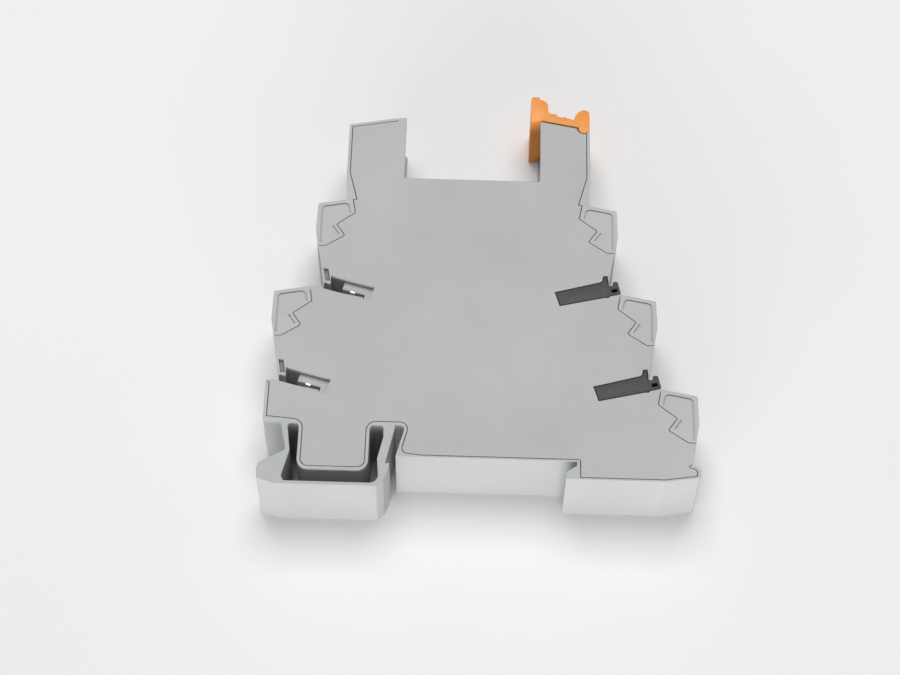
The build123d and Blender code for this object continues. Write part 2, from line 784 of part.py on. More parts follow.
# Clamps: ten screws and ten cages
for side, level in TERMINALS:
    for row_name, row in ROWS.items():
        place = f"{SIDE_NAME[side]}_{LEVEL_NAME[level]}_{row_name}"
        plane = screw_plane(side, level, row)
        with BuildPart() as screw:
            with BuildSketch(plane.offset(-tip_depth)):
                Circle(shank_radius)
            extrude(amount=tip_depth - head_depth)
            with BuildSketch(plane.offset(-head_depth - head_height)):
                Circle(head_radius)
            extrude(amount=head_height)
            with BuildSketch(plane.offset(-head_depth)):
                Rectangle(slot_cut, 2 * head_radius + 1)
                Rectangle(2 * cross_reach, slot_cut)
            extrude(amount=-recess_depth, mode=Mode.SUBTRACT)
        save(screw.part, f"screw_{place}")
        with BuildPart() as cage:
            with BuildSketch(plane.offset(-cage_base)):
                Rectangle(cage_width, cage_length)
            extrude(amount=cage_base - cage_top)
            with BuildSketch(plane.offset(-cage_base + cage_floor)):
                Rectangle(cage_width - 2 * cage_side, cage_length + 1)
            extrude(amount=cage_base - cage_floor - cage_top - cage_plate, mode=Mode.SUBTRACT)
            with BuildSketch(plane.offset(-cage_top - cage_plate)):
                Circle(shank_radius + thread_gap)
            extrude(amount=cage_plate, mode=Mode.SUBTRACT)
        save(cage.part, f"cage_{place}")


def bar_block(side, level, start, end):
    """Outline of a current bar in a clamp, seen from the side."""
    return polygon([
        along(side, level, bar_top, start), along(side, level, bar_top, end),
        along(side, level, bar_base, end), along(side, level, bar_base, start),
    ])


def fork(x, row):
    """Spring fork under the deck that takes one blade of the relay."""
    top = deck_y - edge_wall - 0.1
    with BuildPart() as piece:
        with BuildSketch(Plane.XY.offset(row * pin_row - fork_depth / 2)):
            with Locations((x, top)):
                Rectangle(fork_width, fork_length, align=(Align.CENTER, Align.MAX))
        extrude(amount=fork_depth)
        with BuildSketch(Plane.XY.offset(row * pin_row - fork_gap / 2)):
            with Locations((x, top)):
                Rectangle(fork_width + 1, fork_length - fork_root, align=(Align.CENTER, Align.MAX))
        extrude(amount=fork_gap, mode=Mode.SUBTRACT)
    return piece.part


# Contact strips: the fork nearest to the contact side serves the top level
strip_turn = [3.4, 2.4, 2.2]
for level in range(3):
    for row_name, row in ROWS.items():
        fork_x = contact_x[2 - level]
        root_x, root_y = along(CONTACT, level, (bar_top + bar_base) / 2, bar_root - 0.5)
        with BuildPart() as contact_strip:
            add(fork(fork_x, row))
            with BuildSketch(Plane.XY.offset(row * row_offset - strip_thickness / 2)):
                with BuildLine() as route:
                    Polyline((fork_x, deck_y - edge_wall - fork_length + 1), (fork_x, root_y + strip_turn[level]), (root_x, root_y))
                trace(route.line, line_width=strip_width)
            extrude(amount=strip_thickness)
            with BuildSketch(Plane.XY.offset(row * row_offset - bar_width / 2)):
                add(bar_block(CONTACT, level, bar_root - 0.9, bar_end))
            extrude(amount=bar_width)
        save(contact_strip.part, f"contact_strip_{LEVEL_NAME[level]}_{row_name}")

# Input combs: both clamps of a coil-side level are one conductor
comb_half_width = row_offset + bar_width / 2
for level in (0, 1):
    with BuildPart() as input_strip:
        with BuildSketch(Plane.XY.offset(-comb_half_width)):
            add(bar_block(COIL, level, -6.2, bar_root))
        extrude(amount=2 * comb_half_width)
        for row in ROWS.values():
            with BuildSketch(Plane.XY.offset(row * row_offset - bar_width / 2)):
                add(bar_block(COIL, level, bar_root - 0.5, bar_end))
            extrude(amount=bar_width)
        # Lead up to its foot on the board, past the slot above
        start = along(COIL, level, (bar_top + bar_base) / 2, -6.0)
        foot_x = board_right - foot_inset - foot_pitch * (1 - level)
        with BuildSketch(Plane.XY.offset(board_seat + 0.1)):
            with BuildLine() as lead:
                if level == 0:
                    Polyline(start, (foot_x, board_base - lead_gap))
                else:
                    block_x = in_slot(COIL, 0, 0, slot_height)[0] + slot_wall
                    lead_x = block_x + lead_play + lead_width / 2
                    Polyline(start, (lead_x, start[1] + 3.0), (lead_x, level_y[0] - 8.0), (foot_x, board_base - lead_gap))
            trace(lead.line, line_width=lead_width)
        extrude(amount=strip_thickness)
    save(input_strip.part, f"input_strip_{LEVEL_NAME[level]}")

# Coil contacts, from the board to the relay's coil blades
for row_name, row in ROWS.items():
    with BuildPart() as coil_contact:
        add(fork(coil_x, row))
        tail_y = deck_y - edge_wall - fork_length + tail_width / 2 + 0.1
        tail_x = board_right - tail_width / 2
        with BuildSketch(Plane.XY.offset(row * row_offset - strip_thickness / 2)):
            with BuildLine() as tail:
                Polyline((coil_x + fork_width / 2, tail_y), (tail_x - tail_width / 2, tail_y))
            trace(tail.line, line_width=tail_width)
        extrude(amount=strip_thickness)
        foot = board_seat + board_thickness if row > 0 else board_seat
        with BuildSketch(Plane.XY.offset(row * row_offset)):
            with Locations((tail_x, tail_y)):
                Rectangle(1.4, 1.4)
        extrude(amount=foot - row * row_offset)
    save(coil_contact.part, f"coil_contact_{row_name}")

# Board with the indicator, its resistor and the diode across the coil
with BuildPart() as circuit_board:
    with BuildSketch(Plane.XY.offset(board_seat)):
        with Locations((board_middle, board_base)):
            Rectangle(board_right - board_left, board_top - board_base, align=(Align.CENTER, Align.MIN))
    extrude(amount=board_thickness)
save(circuit_board.part, "circuit_board")

with BuildPart() as indicator_led:
    with BuildSketch(Plane.XZ.offset(-board_top + 5.0)):
        with Locations((light_x, light_z)):
            Circle(led_radius)
    extrude(amount=-3.0)
    with Locations((light_x, board_top - 2.0, light_z)):
        Sphere(led_radius)
save(indicator_led.part, "indicator_led")

with BuildPart() as light_pipe:
    with BuildSketch(Plane.XZ.offset(-board_top - 0.1)):
        with Locations((light_x, light_z)):
            Rectangle(pipe_width, pipe_width)
    extrude(amount=-6.0)
    with BuildSketch(Plane.XY.offset(-half)):
        add(box)
    extrude(amount=width, mode=Mode.INTERSECT)
save(light_pipe.part, "light_pipe")

PARTS_ON_BOARD = {"series_resistor": (0.7, 10.9, 1.0, 6.0), "suppressor_diode": (0.3, 5.4, 1.2, 5.0)}
for name, (share, rise, radius, length) in PARTS_ON_BOARD.items():
    x = board_left + share * (board_right - board_left)
    with BuildPart() as component:
        with BuildSketch(Plane.XZ.offset(-board_base - rise)):
            with Locations((x, board_face + radius)):
                Circle(radius)
        extrude(amount=-length)
        fillet(component.edges().filter_by(GeomType.CIRCLE), radius * 0.3)
    save(component.part, name)
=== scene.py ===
# %% [markdown]
# # A slim relay socket, dressed in Blender
#
# The object is a narrow moulded socket that clips on a 35 mm rail and holds one small relay between
# two prongs. It lies on its side, as in the photograph, so that its outline reads like a staircase.
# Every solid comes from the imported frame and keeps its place. This file adds the looks: the finish
# of each moulded or pressed piece, finer stand-ins for some of them, the light and the camera.

# %% Load the frame
import json
from math import cos, degrees, pi, radians, sin

import bpy
from mathutils import Matrix, Vector


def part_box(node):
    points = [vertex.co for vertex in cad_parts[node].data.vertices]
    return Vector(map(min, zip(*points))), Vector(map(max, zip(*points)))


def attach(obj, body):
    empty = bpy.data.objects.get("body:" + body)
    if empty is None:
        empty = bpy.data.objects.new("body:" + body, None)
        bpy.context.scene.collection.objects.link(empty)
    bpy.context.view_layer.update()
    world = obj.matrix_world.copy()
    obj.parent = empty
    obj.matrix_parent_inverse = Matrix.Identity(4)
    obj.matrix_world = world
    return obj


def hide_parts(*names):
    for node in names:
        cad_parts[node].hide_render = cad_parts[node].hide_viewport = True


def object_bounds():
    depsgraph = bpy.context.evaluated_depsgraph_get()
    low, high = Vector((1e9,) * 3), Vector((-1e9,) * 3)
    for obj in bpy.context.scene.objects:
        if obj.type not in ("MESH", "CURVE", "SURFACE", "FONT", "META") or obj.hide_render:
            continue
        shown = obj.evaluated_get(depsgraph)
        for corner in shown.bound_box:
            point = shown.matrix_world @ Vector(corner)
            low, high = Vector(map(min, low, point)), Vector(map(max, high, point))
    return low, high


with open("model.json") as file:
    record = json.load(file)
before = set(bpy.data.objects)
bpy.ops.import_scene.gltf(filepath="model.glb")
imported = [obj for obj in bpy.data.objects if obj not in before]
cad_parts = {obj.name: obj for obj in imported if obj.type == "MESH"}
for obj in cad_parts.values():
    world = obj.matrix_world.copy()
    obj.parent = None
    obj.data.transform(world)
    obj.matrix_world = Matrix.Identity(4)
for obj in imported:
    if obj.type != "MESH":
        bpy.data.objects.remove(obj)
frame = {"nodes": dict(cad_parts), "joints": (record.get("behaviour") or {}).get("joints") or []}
cad_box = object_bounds()

# %% [markdown]
# ## Where the photographer stood
#
# The camera looks down at the socket from 59 degrees, with a long lens, so that the steps keep their
# proportions. Its place was worked out from lines of the object whose real directions are known: the
# flat top side, the upright edges and the rows of terminals. A camera could also be placed by eye, but
# an angle that is only nearly right shows at once in the depth of the foot and the bay.

# %% Camera at the photograph's angle
MM = 0.001
IMAGE_WIDTH = 900
FOCAL_PIXELS = 2138.8
SENSOR_MM = 36.0
CAMERA_PITCH = 1.0296952
CAMERA_YAW = 0.0127467
CAMERA_ROLL = -0.0174294
CAMERA_PLACE = Vector((-3.715, -179.636, 347.908)) * MM
NEAREST = 0.01
FARTHEST = 20


def photo_camera():
    """A camera whose directions follow from its pitch, yaw and roll."""
    forward = Vector((
        -sin(CAMERA_YAW) * cos(CAMERA_PITCH),
        cos(CAMERA_YAW) * cos(CAMERA_PITCH),
        -sin(CAMERA_PITCH)))
    level = Vector((cos(CAMERA_YAW), sin(CAMERA_YAW), 0))
    down = forward.cross(level)
    right = level * cos(CAMERA_ROLL) + down * sin(CAMERA_ROLL)
    image_down = down * cos(CAMERA_ROLL) - level * sin(CAMERA_ROLL)
    turn = Matrix((right, -image_down, -forward)).transposed()
    data = bpy.data.cameras.new("photo_camera")
    data.sensor_width = SENSOR_MM
    data.lens = FOCAL_PIXELS * SENSOR_MM / IMAGE_WIDTH
    data.clip_start = NEAREST
    data.clip_end = FARTHEST
    camera = bpy.data.objects.new("photo_camera", data)
    bpy.context.collection.objects.link(camera)
    camera.matrix_world = Matrix.Translation(CAMERA_PLACE) @ turn.to_4x4()
    bpy.context.scene.camera = camera
    return camera


camera = photo_camera()
print("lens", round(camera.data.lens, 2), "mm")

# %% [markdown]
# ## Tools for writing a finish
#
# A finish is a small graph of shader nodes. A picture of the surface could be wrapped round a piece
# instead, but it blurs close up and needs seams, while a pattern that is worked out at each point stays
# sharp. Small helpers keep each graph readable: one adds a node and sets its values, one joins two
# sockets, and the rest are steps that every finish takes. Patterns read Object coordinates, so that they
# stay on the piece wherever it moves.

# %% Node helpers


def finish_named(name):
    """A new material with its shader, ready for nodes."""
    material = bpy.data.materials.new(name)
    material.use_nodes = True
    tree = material.node_tree
    return material, tree, tree.nodes["Principled BSDF"]


def put(tree, kind, **values):
    """A node of a kind, with sockets and properties set by name."""
    node = tree.nodes.new(kind)
    for key, value in values.items():
        if hasattr(node, key):
            setattr(node, key, value)
        else:
            node.inputs[key].default_value = value
    return node


def join(tree, source, target):
    """Wires one socket to another."""
    tree.links.new(source, target)


def noise(tree, scale, detail=3.0, rough=0.55, stretch=(1, 1, 1)):
    """Cloudy variation on Object coordinates; scale is in spots per metre."""
    place = put(tree, "ShaderNodeTexCoord")
    mapping = put(tree, "ShaderNodeMapping")
    mapping.inputs["Scale"].default_value = stretch
    cloud = put(tree, "ShaderNodeTexNoise", Scale=scale, Detail=detail, Roughness=rough)
    join(tree, place.outputs["Object"], mapping.inputs["Vector"])
    join(tree, mapping.outputs["Vector"], cloud.inputs["Vector"])
    return cloud


def spread(tree, source, low, high, start=0.3, end=0.7):
    """Maps a pattern's middle range to the range low to high."""
    node = put(tree, "ShaderNodeMapRange")
    for key, value in (("From Min", start), ("From Max", end), ("To Min", low), ("To Max", high)):
        node.inputs[key].default_value = value
    join(tree, source, node.inputs["Value"])
    return node.outputs["Result"]


def mixed(tree, factor, first, second):
    """A colour between two colours, or between a socket and a colour."""
    node = put(tree, "ShaderNodeMix", data_type="RGBA")
    join(tree, factor, node.inputs["Factor"])
    for socket, value in ((node.inputs[6], first), (node.inputs[7], second)):
        if isinstance(value, bpy.types.NodeSocket):
            join(tree, value, socket)
        else:
            socket.default_value = (*value, 1)
    return node.outputs[2]


print("helpers for nodes and patterns ready")

# %% [markdown]
# ## Steps that every finish takes
#
# A real surface is never one flat colour with one gloss. Single values would be quicker to set, but they
# look like fresh paint on everything. So one pattern mixes two near colours, another makes the gloss
# uneven, and bump layers tilt the light a little. A Bevel node averages the normal near an edge, which
# gives it the soft line that a mould or a press leaves.

# %% Helpers for colour, gloss and bumps
BEVEL_SAMPLES = 6


def clouded(tree, pattern, first, second):
    """A colour that wanders between two colours with a pattern."""
    return mixed(tree, spread(tree, pattern.outputs["Fac"], 0, 1), first, second)


def uneven_gloss(tree, shader, pattern, low, high):
    """A roughness that wanders between two values with a pattern."""
    join(tree, spread(tree, pattern.outputs["Fac"], low, high), shader.inputs["Roughness"])


def bumps(tree, shader, layers, rounding=0.0):
    """Stacks bump layers (pattern, height in metres) under an optional soft edge."""
    normal = None
    if rounding:
        edge = put(tree, "ShaderNodeBevel", samples=BEVEL_SAMPLES, Radius=rounding)
        normal = edge.outputs["Normal"]
    for pattern, height in layers:
        bump = put(tree, "ShaderNodeBump", Strength=1.0, Distance=height)
        join(tree, pattern.outputs["Fac"], bump.inputs["Height"])
        if normal:
            join(tree, normal, bump.inputs["Normal"])
        normal = bump.outputs["Normal"]
    join(tree, normal, shader.inputs["Normal"])


print("helpers for colour, gloss and bumps ready")

# %% [markdown]
# ## Moulded plastic
#
# The housing and its cover are a light grey polyamide with a finely eroded surface: the steel mould
# has a grain of about a tenth of a millimetre, which the plastic copies. Its colour is even, with faint
# clouds where the melt cooled at different rates, and its edges carry a painted highlight. Each
# moulding could have a graph of its own, but one function makes them all, because the lever and the
# slot fillers come from the same process with other pigments.

# %% Finish of moulded pieces
CLOUD_SPOTS = 45
WAVE_SPOTS = 160
SMEAR_SPOTS = 700
GRAIN_SPOTS = 9000
CLOUD_DEPTH = 0.05
SMEAR = (-0.05, 0.07)
WAVE_HEIGHT = 6e-6
GRAIN_HEIGHT = 2.6e-6
MOULD_RADIUS = 0.18 * MM
# Painted edge highlight: the colour is made lighter at the edges, as if they caught the light.
PAINTED_HIGHLIGHT_RADIUS = 1.3 * MOULD_RADIUS
PAINTED_HIGHLIGHT_COSINES = (0.995, 0.85)
PAINTED_HIGHLIGHT_GAIN = 1.5
PAINTED_HIGHLIGHT_LIFT = 0.05


def painted_highlight_share(tree, most):
    """The share of painted highlight: grows to most where the softened normal leaves the flat one, at the
    edges.
    """
    edge = put(tree, "ShaderNodeBevel", samples=BEVEL_SAMPLES, Radius=PAINTED_HIGHLIGHT_RADIUS)
    place = put(tree, "ShaderNodeNewGeometry")
    facing = put(tree, "ShaderNodeVectorMath", operation="DOT_PRODUCT")
    join(tree, edge.outputs["Normal"], facing.inputs[0])
    join(tree, place.outputs["True Normal"], facing.inputs[1])
    return spread(tree, facing.outputs["Value"], 0.0, most, *PAINTED_HIGHLIGHT_COSINES)


def moulded(name, colour, gloss, painted_edge_highlight, shine=0.42):
    """Satin plastic of a pigment, with a painted highlight on its edges and a fine grain."""
    material, tree, shader = finish_named(name)
    dark = [c * (1 - CLOUD_DEPTH) for c in colour]
    light = [min(1, c * (1 + CLOUD_DEPTH)) for c in colour]
    # rim is the colour of the painted edge highlight: the pigment made lighter.
    rim = [min(1, c * PAINTED_HIGHLIGHT_GAIN + PAINTED_HIGHLIGHT_LIFT) for c in colour]
    body = clouded(tree, noise(tree, CLOUD_SPOTS, detail=4), dark, light)
    join(tree, mixed(tree, painted_highlight_share(tree, painted_edge_highlight), body, rim), shader.inputs["Base Color"])
    grain = noise(tree, GRAIN_SPOTS, detail=2, rough=0.6)
    wave = noise(tree, WAVE_SPOTS, detail=2)
    smear = noise(tree, SMEAR_SPOTS, detail=3, rough=0.6, stretch=(1, 3, 1))
    uneven_gloss(tree, shader, smear, gloss + SMEAR[0], gloss + SMEAR[1])
    shader.inputs["Specular IOR Level"].default_value = shine
    bumps(tree, shader, [(grain, GRAIN_HEIGHT), (wave, WAVE_HEIGHT)], MOULD_RADIUS)
    return material


grey_plastic = moulded("light_grey_polyamide", (0.478, 0.489, 0.496), 0.44, painted_edge_highlight=0.26)
cover_plastic = moulded("cover_polyamide", (0.470, 0.481, 0.489), 0.46, painted_edge_highlight=0.22)
orange_plastic = moulded("orange_lever_plastic", (0.97, 0.352, 0.062), 0.37, painted_edge_highlight=0.25, shine=0.36)
dark_plastic = moulded("dark_filler_plastic", (0.046, 0.047, 0.052), 0.50, painted_edge_highlight=0.10, shine=0.3)
print("moulded finishes", [m.name for m in (grey_plastic, cover_plastic, orange_plastic, dark_plastic)])

# %% [markdown]
# ## Metal inside the clamps
#
# Through the funnels and screwdriver openings one sees zinc-plated screws and cages, and tinned brass
# bars between them. Plating is bright but not a mirror: pressed sheet keeps fine rolling lines, and a
# thin cloudy film gives it patches of different brightness. A plain metal shader would look like wet
# paint, so a stretched pattern draws the rolling lines into both the gloss and the bumps.

# %% Finish of metal pieces
FILM_SPOTS = 320
FILM_DULLS = 0.86
ROLLING_SPOTS = 900
ROLLING = (-0.07, 0.1)
ROLLING_HEIGHT = 2.5e-6
SHEET_RADIUS = 0.12 * MM


def plated(name, colour, gloss, lines=(1, 1, 14)):
    """Plated metal whose rolling lines lie across the axis with the largest number."""
    material, tree, shader = finish_named(name)
    dull = [c * FILM_DULLS for c in colour]
    film = noise(tree, FILM_SPOTS, detail=4)
    join(tree, clouded(tree, film, dull, colour), shader.inputs["Base Color"])
    shader.inputs["Metallic"].default_value = 1.0
    rolled = noise(tree, ROLLING_SPOTS, detail=3, rough=0.6, stretch=lines)
    uneven_gloss(tree, shader, rolled, gloss + ROLLING[0], gloss + ROLLING[1])
    bumps(tree, shader, [(rolled, ROLLING_HEIGHT)], SHEET_RADIUS)
    return material


zinc_steel = plated("zinc_plated_steel", (0.66, 0.67, 0.66), 0.30)
tinned_brass = plated("tinned_brass", (0.74, 0.72, 0.66), 0.26, (1, 12, 1))
spring_sheet = plated("plated_spring_sheet", (0.72, 0.73, 0.74), 0.22, (10, 1, 1))
print("metal finishes", zinc_steel.name, tinned_brass.name, spring_sheet.name)

# %% [markdown]
# ## Tools for shaping meshes
#
# Every operator acts on what is selected, and the loaded solids come selected. So each step first
# deselects everything, then names one object, and picks edges or faces in code by their place or their
# normal. That is slower to write than a click, but it picks the same ones each time.

# %% Mesh helpers


def only(obj):
    """Makes an object the only one that an operator acts on."""
    bpy.ops.object.select_all(action="DESELECT")
    obj.select_set(True)
    bpy.context.view_layer.objects.active = obj


def unpicked(obj):
    """The mesh of an object, in object mode and with nothing selected."""
    bpy.ops.object.mode_set(mode="OBJECT")
    mesh = obj.data
    for part in (mesh.vertices, mesh.edges, mesh.polygons):
        part.foreach_set("select", [False] * len(part))
    return mesh


def pick_edges(obj, wanted):
    """Selects the edges of a mesh whose two ends pass a test."""
    mesh = unpicked(obj)
    for edge in mesh.edges:
        edge.select = all(wanted(mesh.vertices[i].co) for i in edge.vertices)
    bpy.ops.object.mode_set(mode="EDIT")
    bpy.ops.mesh.select_mode(type="EDGE")


def apply_all(obj):
    """Applies every modifier of an object."""
    only(obj)
    for modifier in list(obj.modifiers):
        bpy.ops.object.modifier_apply(modifier=modifier.name)


def combine(obj, other, operation):
    """Joins another closed mesh to a mesh, or cuts it away."""
    step = obj.modifiers.new(operation.lower(), "BOOLEAN")
    step.operation = operation
    step.object = other
    step.solver = "EXACT"
    apply_all(obj)
    bpy.data.objects.remove(other)


print("helpers for meshes ready")

# %% [markdown]
# ## A clamp screw and its head
#
# Each clamp is closed by a small pan-headed screw, and its head is what one meets at the bottom of the
# screwdriver holes: a disc with a rounded rim, a slot right across it and a shorter stroke that makes a
# cross. The profile could be drawn and spun, but a cylinder with a bevelled rim gives the same disc in
# fewer steps, and two bars cut away leave the clean flat walls that a punch does.

# %% The head
HEAD_RADIUS = 2.2 * MM
HEAD_TOP = -1.3 * MM
HEAD_HEIGHT = 1.6 * MM
HEAD_ROUND = 0.28 * MM
HEAD_SIDES = 64
DRIVER_SLOT = 0.7 * MM
CROSS_REACH = 1.35 * MM
RECESS_DEPTH = 0.9 * MM
RIM_STEPS = 4
ON_RIM = 1e-6


def turned(radius, bottom, top, edge, sides):
    """A turned disc or pin. A positive edge rounds the upper rim, a negative one the lower."""
    bpy.ops.object.select_all(action="DESELECT")
    bpy.ops.mesh.primitive_cylinder_add(
        vertices=sides, radius=radius, depth=top - bottom, location=(0, 0, (top + bottom) / 2))
    piece = bpy.context.active_object
    bpy.ops.object.transform_apply(location=True, rotation=False, scale=False)
    rim = top if edge > 0 else bottom
    pick_edges(piece, lambda point: abs(point.z - rim) < ON_RIM)
    bpy.ops.mesh.bevel(offset=abs(edge), segments=RIM_STEPS, profile=0.5, affect="EDGES")
    bpy.ops.object.mode_set(mode="OBJECT")
    return piece


def bar(length, width, top, depth):
    """A cutter for one stroke of the recess."""
    bpy.ops.object.select_all(action="DESELECT")
    bpy.ops.mesh.primitive_cube_add(size=1, location=(0, 0, top - depth), scale=(length, width, 2 * depth))
    cutter = bpy.context.active_object
    bpy.ops.object.transform_apply(location=True, rotation=False, scale=True)
    return cutter


head = turned(HEAD_RADIUS, HEAD_TOP - HEAD_HEIGHT, HEAD_TOP, HEAD_ROUND, HEAD_SIDES)
combine(head, bar(DRIVER_SLOT, 2 * HEAD_RADIUS + MM, HEAD_TOP, RECESS_DEPTH), "DIFFERENCE")
combine(head, bar(2 * CROSS_REACH, DRIVER_SLOT, HEAD_TOP, RECESS_DEPTH), "DIFFERENCE")
print("head faces", len(head.data.polygons))

# %% [markdown]
# ## A real thread
#
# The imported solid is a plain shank, which is enough for motion. A thread could be faked with a bump
# pattern, but a bump is flat against the light at the edge and vanishes from the finished mesh. Here it
# is made as on a lathe: a small diamond is swept up a helix by the Screw modifier, closed at both ends
# and joined to the core. The diamond's widest part lies just inside the core and is a little less than
# one pitch high, so that neighbouring turns never touch and the Boolean finds clean cuts.

# %% The thread on its core
SHANK_TIP = -8.6 * MM
TIP_ROUND = 0.3 * MM
CORE_RADIUS = 1.2 * MM
CORE_SIDES = 48
CORE_IN_HEAD = 0.3 * MM
THREAD_RADIUS = 1.44 * MM
THREAD_PITCH = 0.5 * MM
THREAD_TURNS = 10
THREAD_START = -8.2 * MM
THREAD_STEPS = 24
RIDGE_FOOT = CORE_RADIUS - 0.04 * MM
RIDGE_HALF = 0.48 * THREAD_PITCH


def thread_ridge():
    """A ridge that climbs one pitch a turn, closed at its ends."""
    bpy.ops.object.select_all(action="DESELECT")
    bpy.ops.mesh.primitive_circle_add(
        vertices=4, radius=RIDGE_HALF, fill_type="NOTHING",
        location=(RIDGE_FOOT, 0, THREAD_START), rotation=(pi / 2, 0, 0))
    ridge = bpy.context.active_object
    ridge.scale.x = (THREAD_RADIUS - RIDGE_FOOT) / RIDGE_HALF
    bpy.ops.object.transform_apply(location=True, rotation=True, scale=True)
    sweep = ridge.modifiers.new("sweep", "SCREW")
    sweep.axis = "Z"
    sweep.screw_offset = THREAD_PITCH
    sweep.iterations = THREAD_TURNS
    sweep.steps = sweep.render_steps = THREAD_STEPS
    sweep.use_merge_vertices = False
    apply_all(ridge)
    bpy.ops.object.mode_set(mode="EDIT")
    bpy.ops.mesh.select_all(action="SELECT")
    bpy.ops.mesh.fill_holes(sides=4)
    bpy.ops.mesh.normals_make_consistent(inside=False)
    bpy.ops.object.mode_set(mode="OBJECT")
    return ridge


clamp_screw = turned(CORE_RADIUS, SHANK_TIP, HEAD_TOP - HEAD_HEIGHT + CORE_IN_HEAD, -TIP_ROUND, CORE_SIDES)
combine(clamp_screw, thread_ridge(), "UNION")
combine(clamp_screw, head, "UNION")
print("screw faces", len(clamp_screw.data.polygons), "height", round(clamp_screw.dimensions.z / MM, 2), "mm")

# %% [markdown]
# ## Ten screws in their clamps
#
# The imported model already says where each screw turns: its joint has a point on the housing's tilted
# top face and an axis that runs into the housing. So no screw is fitted by eye. The pattern screw is
# copied with a mesh of its own, its vertices are moved into the clamp, and the object stays at the
# origin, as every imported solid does.

# %% Screws at their joints
THREAD_SMOOTH = radians(35)


def moved_copy(pattern, name, point, out):
    """A copy whose own Z axis is turned to a direction and whose origin is put at a point."""
    across = Vector((0, 0, 1))
    turn = Matrix((across, out.cross(across), out)).transposed().to_4x4()
    mesh = pattern.data.copy()
    mesh.transform(Matrix.Translation(point) @ turn)
    piece = bpy.data.objects.new(name, mesh)
    bpy.context.collection.objects.link(piece)
    return piece


clamp_screw.data.materials.append(zinc_steel)
for joint in frame["joints"]:
    if joint["name"].startswith("turn_"):
        node = joint["name"].replace("turn_", "screw_")
        piece = moved_copy(clamp_screw, "threaded_" + node, Vector(joint["pos_m"]), -Vector(joint["axis"]))
        only(piece)
        bpy.ops.object.shade_smooth_by_angle(angle=THREAD_SMOOTH)
        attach(piece, node)
        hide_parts(node)
bpy.data.objects.remove(clamp_screw)

# %% [markdown]
# ## The small board
#
# Behind the coil-side prong stands a little circuit board with a light, a resistor and a diode. They
# show only when the cover is lifted off, but each has its own finish: woven glass fibre under green
# lacquer, a clear lens, a lacquered body and a matt black moulding. Plain colours would do from afar,
# but close up the weave is what makes a board look like one. It is a wave pattern bent a little, because
# real glass threads never lie quite straight.

# %% Finishes of the board and what is on it
WEAVE_SPOTS = 620
WEAVE_HEIGHT = 6e-6
WEAVE_COLOURS = ((0.035, 0.16, 0.06), (0.06, 0.23, 0.09))
HAZE_SPOTS = 1500
HAZE = (0.12, 0.28)
LACQUER_SPOTS = 2600
LACQUER_HEIGHT = 5e-6
LACQUER_DARK = 0.8
LACQUER_DULL = 0.15


def lacquered_board():
    """Woven glass fibre under green lacquer."""
    material, tree, shader = finish_named("green_board")
    weave = put(tree, "ShaderNodeTexWave", Scale=WEAVE_SPOTS, Distortion=0.6, Detail=1.0)
    place = put(tree, "ShaderNodeTexCoord")
    join(tree, place.outputs["Object"], weave.inputs["Vector"])
    join(tree, mixed(tree, weave.outputs["Fac"], *WEAVE_COLOURS), shader.inputs["Base Color"])
    shader.inputs["Roughness"].default_value = 0.3
    bumps(tree, shader, [(weave, WEAVE_HEIGHT)])
    return material


def clear_lens():
    """Clear plastic with a slight haze."""
    material, tree, shader = finish_named("clear_lens")
    shader.inputs["Base Color"].default_value = (0.86, 0.92, 0.88, 1)
    shader.inputs["Transmission Weight"].default_value = 0.75
    shader.inputs["IOR"].default_value = 1.49
    uneven_gloss(tree, shader, noise(tree, HAZE_SPOTS, detail=3), *HAZE)
    return material


def lacquered_body(name, colour, gloss):
    """A small body whose lacquer lies a little unevenly."""
    material, tree, shader = finish_named(name)
    spots = noise(tree, LACQUER_SPOTS, detail=4)
    deep = [c * LACQUER_DARK for c in colour]
    join(tree, clouded(tree, spots, deep, colour), shader.inputs["Base Color"])
    uneven_gloss(tree, shader, spots, gloss, gloss + LACQUER_DULL)
    bumps(tree, shader, [(spots, LACQUER_HEIGHT)])
    return material


green_board = lacquered_board()
lens_plastic = clear_lens()
resistor_lacquer = lacquered_body("resistor_lacquer", (0.62, 0.46, 0.30), 0.25)
diode_black = lacquered_body("diode_black", (0.025, 0.025, 0.028), 0.35)
print("board finishes", [m.name for m in (green_board, lens_plastic, resistor_lacquer, diode_black)])

# %% [markdown]
# ## Dressing every solid
#
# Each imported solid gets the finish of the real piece. A material could be set solid by solid, but the
# names say what a solid is, so a short list of name beginnings is enough for all of them.

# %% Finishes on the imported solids
FINISH_OF = {
    "housing": grey_plastic, "divider": grey_plastic, "cover": cover_plastic, "relay_lever": orange_plastic,
    "slot_insert": dark_plastic, "screw": zinc_steel, "cage": zinc_steel, "contact_strip": tinned_brass,
    "input_strip": tinned_brass, "coil_contact": tinned_brass, "bridge_contact": spring_sheet,
    "circuit_board": green_board, "indicator_led": lens_plastic, "light_pipe": lens_plastic,
    "series_resistor": resistor_lacquer, "suppressor_diode": diode_black,
}


def dress(obj, material):
    """Gives an object one material in place of what it had."""
    obj.data.materials.clear()
    obj.data.materials.append(material)


for node in frame["nodes"]:
    start = max((key for key in FINISH_OF if node.startswith(key)), key=len)
    dress(frame["nodes"][node], FINISH_OF[start])
print("dressed", len(frame["nodes"]), "solids")

# %% [markdown]
# ## Copies that can be shaped further
#
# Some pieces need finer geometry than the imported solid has. They could be modelled again from nothing,
# but a copy of the solid already has the right size and place. Its mesh is loose triangles, so the
# triangles are merged first and flat faces are made whole again. Only then can a Bevel modifier find
# the real edges and round them.

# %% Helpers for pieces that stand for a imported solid
MERGE_WITHIN = MM / 500
FLAT_WITHIN = radians(1)
SMOOTH_BELOW = radians(30)
SHARP_ABOVE = radians(32)


